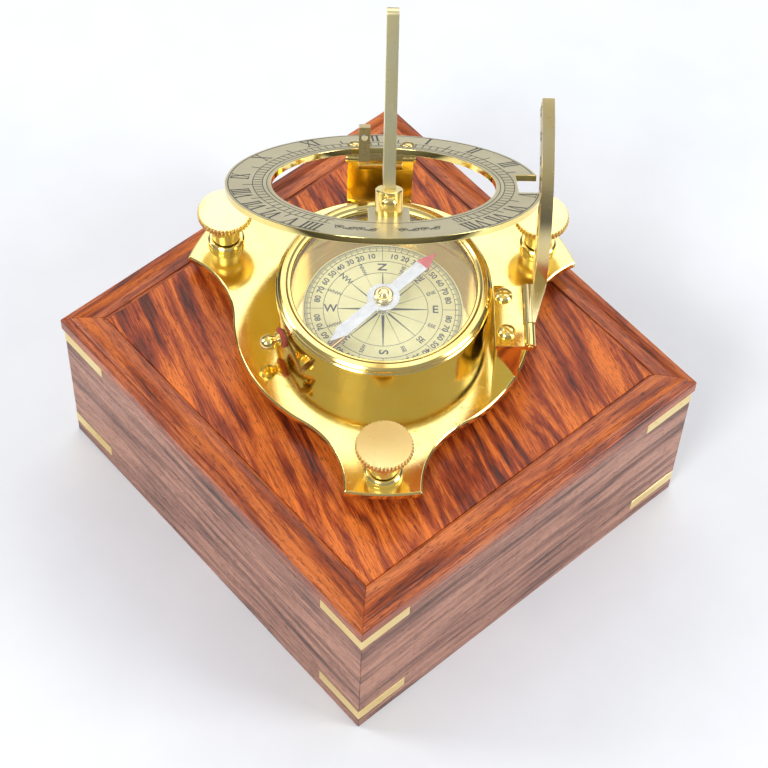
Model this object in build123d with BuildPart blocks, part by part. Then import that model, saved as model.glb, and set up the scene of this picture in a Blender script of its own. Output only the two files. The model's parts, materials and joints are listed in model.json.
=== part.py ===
from build123d import *
import os
from math import cos, radians, sin, sqrt, tan

# Folding equinoctial sundial compass standing on its own hardwood case.
# Millimetres, +Z up. The origin is the centre of the case's bottom face, X along the hinged side.

os.makedirs("parts", exist_ok=True)

# ---- the case ----
CASE_X = 150.0              # over the lid's rim
CASE_Y = 141.6
SIDE_INSET = 0.6            # the sides stand this far inside the rim
WALL = 8.0
FLOOR = 6.0
PARTING_Z = 39.0            # where lid and base meet
RIM_LOW_Z = 59.0            # underside of the lid's panel and its mouldings
RIM_Z = 65.0                # top of the rim bead
SHOULDER_Z = 67.3           # top of the moulding
PANEL_Z = 67.0              # the flat panel the instrument stands on
FELT = 1.0
STRAP_LEG = 19.5            # inlaid corner straps
STRAP_THICK = 1.2
LID_STRAP_Z = (53.1, 59.0)
BASE_STRAP_Z = (5.5, 10.6)
LEAF_LENGTH = 26.0          # butt hinges
LEAF_THICK = 1.0
KNUCKLE_R = 2.0
HINGE_PIN_R = 0.8
CASE_HINGE_X = (-42.0, 42.0)
CASE_HINGE_Y = CASE_Y / 2 + KNUCKLE_R + 0.3
HINGE_SCREW_STEP = 16.0

# ---- the instrument, in its own east, north, up directions ----
CENTRE_X = -4.07
CENTRE_Y = 5.44
YAW = 49.3                  # east arm of the compass card, measured from +X
PLATE_Z = 74.5              # top of the base plate
PLATE_THICK = 2.5
DISC_R = 47.7
ARM_REACH = 67.0
ARM_HALF = 12.0
ARM_FILLET = 27.5
LEVEL_R = 58.8              # circle of the levelling screws
ARM_ANGLES = {"front": -90.0, "right": 30.0, "left": 150.0}
FOOT_Z = {"front": 67.0, "right": 67.2, "left": 67.0}   # the right foot stands on the moulding
BUSH_R = 6.0
BUSH_UP = 2.6
SHANK_R = 3.0
RUNNING = 0.05              # radial clearance of every running fit
HEAD_R = 8.5
HEAD_LOW = 13.3
HEAD_TOP = 16.1
KNURLS = 48

BOWL_R = 33.3
BOWL_BORE_R = 29.0
BOWL_FLOOR = 3.0
BOWL_TOP = 14.8
GLASS_R = 30.25
GLASS_THICK = 1.8
GASKET_THICK = 0.6
CARD_R = 25.7
CARD_THICK = 0.8
NEEDLE_Z = 10.0
NEEDLE_REACH = 24.3
NEEDLE_HALF = 2.2
NEEDLE_ANGLE = 46.0         # the north end, measured from east towards north
PIVOT_TIP = 11.0

LOCK_ANGLE = 205.0          # where the transit lock's knob stands, from east
LOCK_Z = 8.4
LEVER_DROP = 20.0           # degrees further round, where the lever enters the bowl
LEVER_TIP_Z = 6.0
KNOB_R = 2.7

TILT = 32.2                 # slope of the hour ring at rest
RING_X = -1.0
RING_N, RING_UP = 13.68, 50.54          # centre of the ring's face
RING_R = 48.5
RING_BORE_R = 34.35
RING_THICK = 2.0
HINGE_REACH = 46.17         # from the ring's centre to its hinge, along the ring
HINGE_DROP = 7.0            # from the ring's face down to its hinge
NOTCH_FROM = 41.0
NOTCH_LOW, NOTCH_HIGH = -6.5, 9.5
TAB_HALF = 6.2
TAB_END = 21.5
BLOCK_HALF = 7.0
BLOCK_PLATE_HALF = 11.5
EAR_THICK = 3.6
EAR_R = 2.3
RING_PIN_R = 1.2
BRACKET_SOUTH = 46.7        # south face of the ring's bracket
BRACKET_THICK = 3.0
BRACKET_FOOT = 2.0

POST_X = 1.0                # gnomon post, in the ring's own directions
POST_N = -26.7
POST_R = 4.1
POST_UP = 7.5
GNOMON_THICK = 3.6
GNOMON_TIP = 61.0
GNOMON_PIN_N = -24.8
GNOMON_PIN_UP = 4.2
TANG_R = 2.3                # round root of the gnomon, about its pin

ARC_X = 49.0                # plane of the latitude arc
ARC_THICK = 3.8
ARC_IN, ARC_OUT = 40.0, 49.0
ARC_TOP = 73.0              # degrees of arc above the ring's hinge
ARC_FOOT_UP = 15.1
ARC_HINGE_X, ARC_HINGE_UP = 45.1, 16.9
ARC_KNUCKLE_R = 1.85
ARC_PIN_R = 0.9
LEAF_SOUTH, LEAF_SPLIT, LEAF_NORTH = -23.4, -15.2, -0.2
LEAF_WEST = 34.3
PILLAR_WEST, PILLAR_EAST, PILLAR_SOUTH, PILLAR_NORTH = 34.5, 42.6, -22.6, -1.0
PILLAR_TOP = 15.8
LEAF_TOP = 17.6
ARC_SCREWS = ((37.4, -4.3), (37.9, -18.2))      # east and north of the hinge's two screws
ARC_SCREW_TURNS = (0.0, -40.0)                  # how their slots happen to lie
ARC_SCREW_R = 1.2


def heading(degrees):
    """Unit vector at an angle from the instrument's east towards its north."""
    turn = radians(YAW + degrees)
    return Vector(cos(turn), sin(turn), 0)


EAST, NORTH, UP = heading(0), heading(90), Vector(0, 0, 1)
CENTRE = Vector(CENTRE_X, CENTRE_Y, PLATE_Z)


def place(east, north, up):
    return CENTRE + EAST * east + NORTH * north + UP * up


def flat(east=0, north=0, up=0):
    """Horizontal plane of the instrument: local X is east and local Y is north."""
    return Plane(place(east, north, up), x_dir=EAST, z_dir=UP)


def upright(east=0, north=0, up=0, turn=0):
    """Vertical plane for turned profiles: local X is outwards and local Y is up."""
    return Plane(place(east, north, up), x_dir=heading(turn), z_dir=-heading(turn + 90))


def facing_east(east, north=0, up=0):
    """Plane whose normal is east: local X is north and local Y is up."""
    return Plane(place(east, north, up), x_dir=NORTH, z_dir=EAST)


def facing_south(east=0, north=0, up=0):
    """Plane whose normal is south: local X is east and local Y is up."""
    return Plane(place(east, north, up), x_dir=EAST, z_dir=-NORTH)


def radial(degrees, reach, up):
    """Plane at the bowl's wall whose normal points outwards."""
    return Plane(place(0, 0, up) + heading(degrees) * reach, x_dir=heading(degrees + 90),
                 z_dir=heading(degrees))


RING_FACE_UP = NORTH * sin(radians(TILT)) + UP * cos(radians(TILT))
RING_CENTRE = place(RING_X, RING_N, RING_UP)
RING_NORTH = NORTH * cos(radians(TILT)) - UP * sin(radians(TILT))


def on_ring(east=0, north=0, up=0):
    """Plane in the hour ring's face, north being towards its hinge."""
    origin = RING_CENTRE + EAST * east + RING_NORTH * north + RING_FACE_UP * up
    return Plane(origin, x_dir=EAST, z_dir=RING_FACE_UP)


def across_ring(east, north=0, up=0):
    """Plane square to the ring, normal east: local X is the ring's north and local Y its up."""
    origin = RING_CENTRE + EAST * east + RING_NORTH * north + RING_FACE_UP * up
    return Plane(origin, x_dir=RING_NORTH, z_dir=EAST)


def finish(part, name, label):
    part.label = label
    export_step(part, "parts/" + name + ".step")


def turned(plane, points):
    """Solid of revolution from a closed profile of (radius, height) points."""
    with BuildPart() as body:
        with BuildSketch(plane):
            with BuildLine():
                Polyline(*points, close=True)
            make_face()
        revolve(axis=Axis(plane.origin, plane.y_dir))
    return body.part


# ============================== the case ==============================
SIDE_X = CASE_X / 2 - SIDE_INSET
SIDE_Y = CASE_Y / 2 - SIDE_INSET


def corner_straps(levels):
    """Four L-shaped brass straps, let in flush round the corners."""
    low, high = levels
    with BuildPart() as straps:
        with BuildSketch(Plane.XY.offset(low)):
            for side_x in (-1, 1):
                for side_y in (-1, 1):
                    for along_x, along_y in ((STRAP_LEG, STRAP_THICK), (STRAP_THICK, STRAP_LEG)):
                        leg_at = (side_x * (SIDE_X - along_x / 2), side_y * (SIDE_Y - along_y / 2))
                        with Locations(leg_at):
                            Rectangle(along_x, along_y)
        extrude(amount=high - low)
    return straps.part


def across(x, y, z):
    """A plane facing along the case's long side, its first direction towards the back."""
    return Plane(origin=(x, y, z), x_dir=(0, 1, 0), z_dir=(1, 0, 0))


def mitred(side, outer_x, outer_y, width):
    """Outline of one side of a mitred frame, seen from above."""
    inner_x, inner_y = outer_x - width, outer_y - width
    return {
        "front": [(-outer_x, -outer_y), (outer_x, -outer_y), (inner_x, -inner_y), (-inner_x, -inner_y)],
        "back": [(-outer_x, outer_y), (outer_x, outer_y), (inner_x, inner_y), (-inner_x, inner_y)],
        "left": [(-outer_x, -outer_y), (-inner_x, -inner_y), (-inner_x, inner_y), (-outer_x, outer_y)],
        "right": [(outer_x, -outer_y), (inner_x, -inner_y), (inner_x, inner_y), (outer_x, outer_y)],
    }[side]


def wall(name, label, low, high, side, strap_levels):
    """One mitred side of the case, with its strap recesses and hinge mortises."""
    with BuildPart() as panel:
        with BuildSketch(Plane.XY.offset(low)):
            with BuildLine():
                Polyline(*mitred(side, SIDE_X, SIDE_Y, WALL), close=True)
            make_face()
        extrude(amount=high - low)
        add(corner_straps(strap_levels), mode=Mode.SUBTRACT)
        if side == "back":
            mortise_z = PARTING_Z - LEAF_THICK if low < PARTING_Z - 1 else PARTING_Z
            with BuildSketch(Plane.XY.offset(mortise_z)):
                for hinge_x in CASE_HINGE_X:
                    with Locations((hinge_x, SIDE_Y - WALL / 2 + 0.5)):
                        Rectangle(LEAF_LENGTH, WALL - 1.0)
            extrude(amount=LEAF_THICK, mode=Mode.SUBTRACT)
            drill = 1 if low >= PARTING_Z - 1 else -1
            start = PARTING_Z + drill * LEAF_THICK
            with BuildSketch(Plane.XY.offset(start)):
                for hinge_x in CASE_HINGE_X:
                    for step in (-HINGE_SCREW_STEP / 2, HINGE_SCREW_STEP / 2):
                        with Locations((hinge_x + step, SIDE_Y - WALL / 2)):
                            Circle(0.7)
            extrude(amount=drill * 6.0, mode=Mode.SUBTRACT)
    finish(panel.part, name, label)


for side in ("front", "back", "left", "right"):
    wall("base_wall_" + side, "case base wall, " + side, 0, PARTING_Z, side, BASE_STRAP_Z)
    wall("lid_wall_" + side, "case lid wall, " + side, PARTING_Z, RIM_LOW_Z, side, LID_STRAP_Z)

with BuildPart() as base_floor:
    with BuildSketch(Plane.XY):
        Rectangle(2 * (SIDE_X - WALL), 2 * (SIDE_Y - WALL))
    extrude(amount=FLOOR)
finish(base_floor.part, "base_floor", "case floor board")

with BuildPart() as base_lining:
    with BuildSketch(Plane.XY.offset(FLOOR)):
        Rectangle(2 * (SIDE_X - WALL), 2 * (SIDE_Y - WALL))
    extrude(amount=PARTING_Z - 1.0 - FLOOR)
    with BuildSketch(Plane.XY.offset(FLOOR + FELT)):
        Rectangle(2 * (SIDE_X - WALL - FELT), 2 * (SIDE_Y - WALL - FELT))
    extrude(amount=PARTING_Z - FLOOR, mode=Mode.SUBTRACT)
finish(base_lining.part, "base_lining", "felt lining of the case base")

with BuildPart() as lid_lining:
    with BuildSketch(Plane.XY.offset(PARTING_Z + 1.0)):
        Rectangle(2 * (SIDE_X - WALL), 2 * (SIDE_Y - WALL))
    extrude(amount=RIM_LOW_Z - PARTING_Z - 1.0)
    with BuildSketch(Plane.XY.offset(PARTING_Z)):
        Rectangle(2 * (SIDE_X - WALL - FELT), 2 * (SIDE_Y - WALL - FELT))
    extrude(amount=RIM_LOW_Z - FELT - PARTING_Z, mode=Mode.SUBTRACT)
finish(lid_lining.part, "lid_lining", "felt lining of the case lid")

# The lid's top: a flat panel inside a mitred frame. The frame has a rounded rim bead and a swept-up
# moulding, and a groove runs round the panel.
RIM_ROUND = 1.1
RIM_UNDER_ROUND = 0.9
MOULDING = ((1.6, 64.4), (2.4, 65.6), (4.2, 66.5), (6.8, 67.05), (10.0, SHOULDER_Z))
GROOVE_WIDTH = 1.0
GROOVE_DEPTH = 0.8
GROOVE_IN = MOULDING[-1][0]
PANEL_IN = GROOVE_IN + GROOVE_WIDTH
with BuildPart() as frame_stock:
    with BuildSketch(Plane.XY.offset(RIM_LOW_Z)):
        Rectangle(CASE_X, CASE_Y)
    extrude(amount=RIM_Z - RIM_LOW_Z)
    fillet(frame_stock.edges().group_by(Axis.Z)[-1], radius=RIM_ROUND)
    fillet(frame_stock.edges().group_by(Axis.Z)[0], radius=RIM_UNDER_ROUND)
    for inset, height in MOULDING:
        with BuildSketch(Plane.XY.offset(height)):
            Rectangle(CASE_X - 2 * inset, CASE_Y - 2 * inset)
    loft(ruled=True)
    with BuildSketch(Plane.XY.offset(SHOULDER_Z)):
        Rectangle(CASE_X - 2 * GROOVE_IN, CASE_Y - 2 * GROOVE_IN)
    extrude(amount=-GROOVE_DEPTH, mode=Mode.SUBTRACT)
    with BuildSketch(Plane.XY.offset(SHOULDER_Z)):
        Rectangle(CASE_X - 2 * PANEL_IN, CASE_Y - 2 * PANEL_IN)
    extrude(amount=RIM_LOW_Z - SHOULDER_Z, mode=Mode.SUBTRACT)

for side in ("front", "back", "left", "right"):
    with BuildPart() as moulding:
        add(frame_stock.part)
        with BuildSketch(Plane.XY.offset(RIM_LOW_Z)):
            with BuildLine():
                Polyline(*mitred(side, CASE_X / 2, CASE_Y / 2, PANEL_IN), close=True)
            make_face()
        extrude(amount=SHOULDER_Z - RIM_LOW_Z, mode=Mode.INTERSECT)
    finish(moulding.part, "lid_moulding_" + side, "mitred moulding of the lid, " + side)

with BuildPart() as lid_panel:
    with BuildSketch(Plane.XY.offset(RIM_LOW_Z)):
        Rectangle(CASE_X - 2 * PANEL_IN, CASE_Y - 2 * PANEL_IN)
    extrude(amount=PANEL_Z - RIM_LOW_Z)
finish(lid_panel.part, "lid_panel", "flat panel of the lid")

finish(corner_straps(BASE_STRAP_Z), "base_corner_straps", "brass corner straps of the base")
finish(corner_straps(LID_STRAP_Z), "lid_corner_straps", "brass corner straps of the lid")


def hinge_leaves(name, label, low, knuckle_spans):
    """Both hinge leaves of one half, each with its knuckles round the pin."""
    with BuildPart() as leaves:
        for hinge_x in CASE_HINGE_X:
            with BuildSketch(Plane.XY.offset(low)):
                with Locations((hinge_x, SIDE_Y - WALL / 2 + 0.5)):
                    Rectangle(LEAF_LENGTH, WALL - 1.0)
                for start, end in knuckle_spans:
                    with Locations((hinge_x + (start + end) / 2, (SIDE_Y + CASE_HINGE_Y) / 2 - 0.25)):
                        Rectangle(end - start, CASE_HINGE_Y - SIDE_Y + 0.5)
            extrude(amount=LEAF_THICK)
            for start, end in knuckle_spans:
                side_plane = across(hinge_x + start, CASE_HINGE_Y, PARTING_Z)
                with BuildSketch(side_plane):
                    Circle(KNUCKLE_R)
                extrude(amount=end - start)
                with BuildSketch(side_plane):
                    Circle(HINGE_PIN_R + RUNNING)
                extrude(amount=end - start, mode=Mode.SUBTRACT)
            with BuildSketch(Plane.XY.offset(low)):
                for step in (-HINGE_SCREW_STEP / 2, HINGE_SCREW_STEP / 2):
                    with Locations((hinge_x + step, SIDE_Y - WALL / 2)):
                        Circle(1.0)
            extrude(amount=LEAF_THICK, mode=Mode.SUBTRACT)
    finish(leaves.part, name, label)


THIRD = LEAF_LENGTH / 6
hinge_leaves("hinge_leaves_base", "hinge leaves on the base", PARTING_Z - LEAF_THICK,
             ((-3 * THIRD, -THIRD - 0.1), (THIRD + 0.1, 3 * THIRD)))
hinge_leaves("hinge_leaves_lid", "hinge leaves on the lid", PARTING_Z, ((-THIRD + 0.1, THIRD - 0.1),))

with BuildPart() as hinge_pins:
    for hinge_x in CASE_HINGE_X:
        end_plane = across(hinge_x - LEAF_LENGTH / 2, CASE_HINGE_Y, PARTING_Z)
        with BuildSketch(end_plane):
            Circle(HINGE_PIN_R)
        extrude(amount=LEAF_LENGTH)
finish(hinge_pins.part, "hinge_pins", "case hinge pins")


def hinge_screws(name, label, way):
    """Wood screws, heads flush with the leaf."""
    with BuildPart() as screws:
        for hinge_x in CASE_HINGE_X:
            for step in (-HINGE_SCREW_STEP / 2, HINGE_SCREW_STEP / 2):
                with BuildSketch(Plane((hinge_x + step, SIDE_Y - WALL / 2, PARTING_Z))):
                    Circle(1.0)
                extrude(amount=way * LEAF_THICK)
                with BuildSketch(Plane((hinge_x + step, SIDE_Y - WALL / 2, PARTING_Z + way * LEAF_THICK))):
                    Circle(0.7)
                extrude(amount=way * 5.5)
    finish(screws.part, name, label)


hinge_screws("hinge_screws_base", "hinge screws in the base", -1)
hinge_screws("hinge_screws_lid", "hinge screws in the lid", 1)

# ============================== the base plate ==============================
BOWL_SCREW_R = 22.0
BOWL_SCREW_ANGLES = (90.0, 210.0, 330.0)
BRACKET_SCREW_N = 42.0
with BuildPart() as base_plate:
    with BuildSketch(flat(up=-PLATE_THICK)) as outline:
        Circle(DISC_R)
        for angle in ARM_ANGLES.values():
            with Locations(Location(Vector(ARM_REACH / 2 + 1, 0).rotate(Axis.Z, angle), (0, 0, angle))):
                Rectangle(ARM_REACH + 2, 2 * ARM_HALF)
        corners = outline.vertices().filter_by(lambda v: abs(Vector(v).length - DISC_R) < 0.5)
        fillet(corners, radius=ARM_FILLET)
        Circle(ARM_REACH, mode=Mode.INTERSECT)
    extrude(amount=PLATE_THICK)
    chamfer(base_plate.faces().sort_by(Axis.Z)[-1].edges(), length=0.5)
    with BuildSketch(flat(RING_X, BRACKET_SOUTH + 5, -PLATE_THICK)):
        Rectangle(2 * (BLOCK_HALF + EAR_THICK) + 0.6, 10)
    extrude(amount=PLATE_THICK, mode=Mode.SUBTRACT)
    with BuildSketch(flat(up=-PLATE_THICK)):
        for angle in ARM_ANGLES.values():
            with Locations((LEVEL_R * cos(radians(angle)), LEVEL_R * sin(radians(angle)))):
                Circle(BUSH_R - 1.6)
        for angle in BOWL_SCREW_ANGLES:
            with Locations((BOWL_SCREW_R * cos(radians(angle)), BOWL_SCREW_R * sin(radians(angle)))):
                Circle(1.5)
        with Locations((RING_X - 6, BRACKET_SCREW_N), (RING_X + 6, BRACKET_SCREW_N)):
            Circle(1.2)
        with Locations(*ARC_SCREWS):
            Circle(ARC_SCREW_R)
    extrude(amount=PLATE_THICK, mode=Mode.SUBTRACT)
finish(base_plate.part, "base_plate", "three-armed base plate")

with BuildPart() as screw_bushes:
    for angle in ARM_ANGLES.values():
        bush_at = upright(LEVEL_R * cos(radians(angle)), LEVEL_R * sin(radians(angle)), 0)
        bore = SHANK_R + RUNNING
        add(turned(bush_at, [(bore, -PLATE_THICK), (BUSH_R - 1.6, -PLATE_THICK), (BUSH_R - 1.6, 0),
                             (BUSH_R, 0), (BUSH_R, BUSH_UP - 0.7), (BUSH_R - 0.7, BUSH_UP),
                             (bore, BUSH_UP)]))
finish(screw_bushes.part, "screw_bushes", "bushes of the levelling screws")


def levelling_screw(name, label, angle, foot):
    """Knurled thumbscrew with a stepped neck and a pointed foot."""
    screw_at = upright(LEVEL_R * cos(radians(angle)), LEVEL_R * sin(radians(angle)), 0)
    with BuildPart() as screw:
        add(turned(screw_at, [(0, foot), (1.0, foot), (1.5, foot + 0.4), (SHANK_R, -4.2), (SHANK_R, 3.2),
                              (4.6, 3.2), (4.6, 8.2), (5.8, 8.7), (5.8, 10.9), (4.6, 11.4), (4.6, HEAD_LOW),
                              (0, HEAD_LOW)]))
        with BuildSketch(flat(LEVEL_R * cos(radians(angle)), LEVEL_R * sin(radians(angle)), HEAD_LOW)):
            Circle(HEAD_R)
            with PolarLocations(HEAD_R, KNURLS):
                Circle(0.28, mode=Mode.SUBTRACT)
        extrude(amount=HEAD_TOP - HEAD_LOW)
    finish(screw.part, name, label)


for corner, angle in ARM_ANGLES.items():
    foot = FOOT_Z[corner] - PLATE_Z
    levelling_screw("levelling_screw_" + corner, "levelling screw, " + corner, angle, foot)

# ============================== the compass ==============================
hole_angle = LOCK_ANGLE + LEVER_DROP
with BuildPart() as compass_bowl:
    add(turned(upright(), [(0, 0), (BOWL_R, 0), (BOWL_R, BOWL_TOP), (GLASS_R, BOWL_TOP),
                           (GLASS_R, BOWL_TOP - GASKET_THICK), (BOWL_BORE_R, BOWL_TOP - GASKET_THICK),
                           (BOWL_BORE_R, BOWL_FLOOR), (0, BOWL_FLOOR)]))
    with BuildSketch(radial(hole_angle, BOWL_BORE_R - 1.5, LEVER_TIP_Z + 1.2)):
        SlotOverall(7.0, 4.4, rotation=90)
    extrude(amount=8, mode=Mode.SUBTRACT)
    with BuildSketch(radial(LOCK_ANGLE, BOWL_BORE_R + 1.2, LOCK_Z)):
        Circle(1.2)
    extrude(amount=6, mode=Mode.SUBTRACT)
    with BuildSketch(flat()):
        for angle in BOWL_SCREW_ANGLES:
            with Locations((BOWL_SCREW_R * cos(radians(angle)), BOWL_SCREW_R * sin(radians(angle)))):
                Circle(1.1)
    extrude(amount=2.2, mode=Mode.SUBTRACT)
    with BuildSketch(flat()):
        Circle(1.0)
    extrude(amount=BOWL_FLOOR, mode=Mode.SUBTRACT)
finish(compass_bowl.part, "compass_bowl", "compass bowl")

with BuildPart() as bowl_screws:
    for angle in BOWL_SCREW_ANGLES:
        screw_at = upright(BOWL_SCREW_R * cos(radians(angle)), BOWL_SCREW_R * sin(radians(angle)), 0)
        add(turned(screw_at, [(0, -PLATE_THICK - 1.2), (2.4, -PLATE_THICK - 1.2), (2.6, -PLATE_THICK),
                              (1.5, -PLATE_THICK), (1.5, 0), (1.1, 0), (1.1, 2.2), (0, 2.2)]))
finish(bowl_screws.part, "bowl_screws", "screws that hold the bowl")

with BuildPart() as compass_card:
    with BuildSketch(flat(up=BOWL_FLOOR)):
        Circle(CARD_R)
        Circle(1.0, mode=Mode.SUBTRACT)
    extrude(amount=CARD_THICK)
finish(compass_card.part, "compass_card", "compass card")

with BuildPart() as pivot_pin:
    add(turned(upright(), [(0, 0), (1.0, 0), (1.0, BOWL_FLOOR + CARD_THICK), (2.2, BOWL_FLOOR + CARD_THICK),
                           (2.2, 4.6), (0.8, 5.2), (0.6, 9.0), (0.05, PIVOT_TIP), (0, PIVOT_TIP)]))
finish(pivot_pin.part, "pivot_pin", "steel pivot of the needle")

with BuildPart() as glass_gasket:
    with BuildSketch(flat(up=BOWL_TOP - GASKET_THICK)):
        Circle(GLASS_R)
        Circle(BOWL_BORE_R + 0.1, mode=Mode.SUBTRACT)
    extrude(amount=GASKET_THICK)
finish(glass_gasket.part, "glass_gasket", "cork ring under the glass")

with BuildPart() as glass:
    with BuildSketch(flat(up=BOWL_TOP)):
        Circle(GLASS_R)
    extrude(amount=GLASS_THICK)
finish(glass.part, "glass", "compass glass")

LIP = BOWL_TOP + GLASS_THICK
with BuildPart() as bezel:
    add(turned(upright(), [(BOWL_R + 0.05, 13.4), (34.1, 13.4), (34.1, 16.2), (33.5, 16.7), (33.5, 17.3),
                           (32.6, 18.1), (31.0, 18.1), (30.2, 17.6), (29.5, 17.6), (29.15, 17.2),
                           (29.15, LIP), (GLASS_R + 0.05, LIP), (GLASS_R + 0.05, BOWL_TOP),
                           (BOWL_R + 0.05, BOWL_TOP)]))
finish(bezel.part, "bezel", "moulded bezel")

with BuildPart() as needle:
    with BuildSketch(flat(up=NEEDLE_Z)):
        with BuildLine(Plane.XY.rotated((0, 0, NEEDLE_ANGLE))):
            tip, shoulder, waist = NEEDLE_REACH, NEEDLE_REACH - 5.5, NEEDLE_HALF * 0.85
            Polyline((tip, 0), (shoulder, NEEDLE_HALF), (0, waist), (-shoulder, NEEDLE_HALF), (-tip, 0),
                     (-shoulder, -NEEDLE_HALF), (0, -waist), (shoulder, -NEEDLE_HALF), close=True)
        make_face()
        Circle(5.2)
        Circle(1.4, mode=Mode.SUBTRACT)
    extrude(amount=0.6)
finish(needle.part, "needle", "magnetic needle")

with BuildPart() as needle_cap:
    add(turned(upright(), [(1.4, 9.4), (1.4, NEEDLE_Z + 0.6), (3.1, NEEDLE_Z + 0.6), (3.1, 11.8),
                           (2.5, 12.2), (1.8, 12.2), (1.8, 12.9), (1.2, 13.5), (0, 13.7), (0, 12.0),
                           (0.7, 11.2), (1.0, 9.4)]))
finish(needle_cap.part, "needle_cap", "needle cap")

with BuildPart() as cap_jewel:
    add(turned(upright(), [(0, 11.1), (0.45, 10.9), (0.7, 11.2), (0, 12.0)]))
finish(cap_jewel.part, "cap_jewel", "bearing jewel in the needle cap")

# ---- transit lock ----
with BuildPart() as lock_lever:
    tangent = heading(LOCK_ANGLE + 90)
    outward = heading(LOCK_ANGLE)
    strip_r = BOWL_R + 0.5
    strip_run = strip_r * tan(radians(LEVER_DROP))
    strip_at = place(0, 0, LOCK_Z) + outward * strip_r
    with BuildSketch(Plane(strip_at, x_dir=tangent, z_dir=outward)):
        Circle(2.6)
        with BuildLine():
            Polyline((0, 1.5), (strip_run + 0.8, LEVER_TIP_Z - LOCK_Z + 1.1),
                     (strip_run + 0.8, LEVER_TIP_Z - LOCK_Z - 1.1), (0, -1.8), close=True)
        make_face()
    extrude(amount=0.8)
    with BuildSketch(Plane(strip_at, x_dir=tangent, z_dir=outward)):
        Circle(1.1)
    extrude(amount=0.8, mode=Mode.SUBTRACT)
    inward = heading(hole_angle)
    pin_start = place(0, 0, LEVER_TIP_Z) + inward * (strip_r / cos(radians(LEVER_DROP)) + 0.9)
    with BuildSketch(Plane(pin_start, x_dir=heading(hole_angle + 90), z_dir=-inward)):
        Circle(0.9)
    extrude(amount=19)
finish(lock_lever.part, "lock_lever", "lever of the transit lock")

with BuildPart() as lock_washer:
    with BuildSketch(radial(LOCK_ANGLE, strip_r + 0.8, LOCK_Z)):
        Circle(3.3)
        Circle(1.2, mode=Mode.SUBTRACT)
    extrude(amount=1.1)
finish(lock_washer.part, "lock_washer", "fibre washer of the transit lock")

with BuildPart() as lock_knob:
    knob_plane = Plane(place(0, 0, LOCK_Z), x_dir=heading(LOCK_ANGLE), z_dir=heading(LOCK_ANGLE + 90))
    with BuildSketch(knob_plane):
        with BuildLine():
            neck = strip_r + 1.9
            ball = neck + 4.3
            ball_start = ball - sqrt(KNOB_R ** 2 - 1.5 ** 2)
            Polyline((BOWL_R - 2.6, 0), (BOWL_R - 2.6, 1.1), (neck, 1.1), (neck, 2.3), (neck + 1.0, 2.3),
                     (neck + 1.3, 1.5), (ball_start, 1.5))
            ThreePointArc((ball_start, 1.5), (ball, KNOB_R), (ball + KNOB_R, 0))
            Line((ball + KNOB_R, 0), (BOWL_R - 2.6, 0))
        make_face()
    revolve(axis=Axis(place(0, 0, LOCK_Z), heading(LOCK_ANGLE)))
finish(lock_knob.part, "lock_knob", "ball knob of the transit lock")

# ============================== the ring's bracket ==============================
AXIS_N = RING_N + HINGE_REACH * cos(radians(TILT)) - HINGE_DROP * sin(radians(TILT))
AXIS_UP = RING_UP - HINGE_REACH * sin(radians(TILT)) - HINGE_DROP * cos(radians(TILT))
EAR_OUT = BLOCK_HALF + EAR_THICK
with BuildPart() as ring_bracket:
    with BuildSketch(facing_east(RING_X - EAR_OUT)):
        with BuildLine():
            top = AXIS_UP - EAR_R - 1.2
            foot_low = -PLATE_THICK - BRACKET_FOOT
            back, toe = BRACKET_SOUTH + BRACKET_THICK, BRACKET_SCREW_N - 3.5
            Polyline((BRACKET_SOUTH, -PLATE_THICK), (BRACKET_SOUTH, top), (back, top), (back, foot_low),
                     (toe, foot_low), (toe, -PLATE_THICK), close=True)
        make_face()
    extrude(amount=2 * EAR_OUT)
    for side in (-EAR_OUT, BLOCK_HALF + 0.1):
        with BuildSketch(facing_east(RING_X + side, AXIS_N, AXIS_UP)):
            Circle(EAR_R)
            with Locations((0, -(EAR_R + 1.2) / 2)):
                Rectangle(2 * EAR_R, EAR_R + 1.3)
        extrude(amount=EAR_THICK - 0.1)
    with BuildSketch(facing_east(RING_X - EAR_OUT, AXIS_N, AXIS_UP)):
        Circle(RING_PIN_R)
    extrude(amount=2 * EAR_OUT, mode=Mode.SUBTRACT)
    with BuildSketch(flat(RING_X, BRACKET_SCREW_N, -PLATE_THICK)):
        with Locations((-6, 0), (6, 0)):
            Circle(1.2)
    extrude(amount=-BRACKET_FOOT, mode=Mode.SUBTRACT)
finish(ring_bracket.part, "ring_bracket", "bracket of the hour ring")

with BuildPart() as bracket_screws:
    for side in (-6, 6):
        screw_at = upright(RING_X + side, BRACKET_SCREW_N, 0)
        low = -PLATE_THICK - BRACKET_FOOT
        add(turned(screw_at, [(0, low - 0.8), (1.8, low - 0.8), (2.1, low), (1.2, low), (1.2, 0), (0, 0)]))
finish(bracket_screws.part, "bracket_screws", "screws of the ring's bracket")

with BuildPart() as ring_hinge_pin:
    with BuildSketch(facing_east(RING_X - EAR_OUT, AXIS_N, AXIS_UP)):
        Circle(RING_PIN_R)
    extrude(amount=2 * EAR_OUT)
    for side, way in ((-EAR_OUT, -1), (EAR_OUT, 1)):
        with BuildSketch(facing_east(RING_X + side, AXIS_N, AXIS_UP)):
            Circle(1.8)
        extrude(amount=way * 0.7)
finish(ring_hinge_pin.part, "ring_hinge_pin", "hinge pin of the hour ring")

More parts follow.
